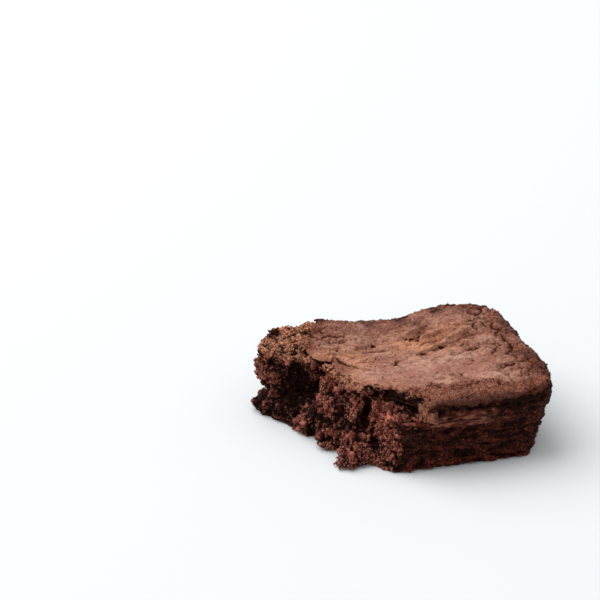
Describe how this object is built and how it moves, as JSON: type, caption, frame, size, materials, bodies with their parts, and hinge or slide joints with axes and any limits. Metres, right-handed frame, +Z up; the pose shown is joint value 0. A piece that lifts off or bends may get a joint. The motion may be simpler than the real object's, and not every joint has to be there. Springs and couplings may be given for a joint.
{
  "type": "chocolate brownie",
  "caption": "Torn-off larger part of a baked chocolate brownie square, with a thin crackled top crust and an open crumbly torn face.",
  "frame": {"origin": "centre of the bounding box's base, on the flat underside", "axes": "+X away from the torn face, towards the baked side opposite it; +Y towards the back side; +Z up, out of the top crust"},
  "size_m": [0.09, 0.0688, 0.0267],
  "materials": {
    "crumb": "matte, open, moist crumb",
    "crust": "thin, satin, crackled sugar crust"
  },
  "bodies": {
    "root": {"brownie": "crumb"}
  },
  "joints": []
}
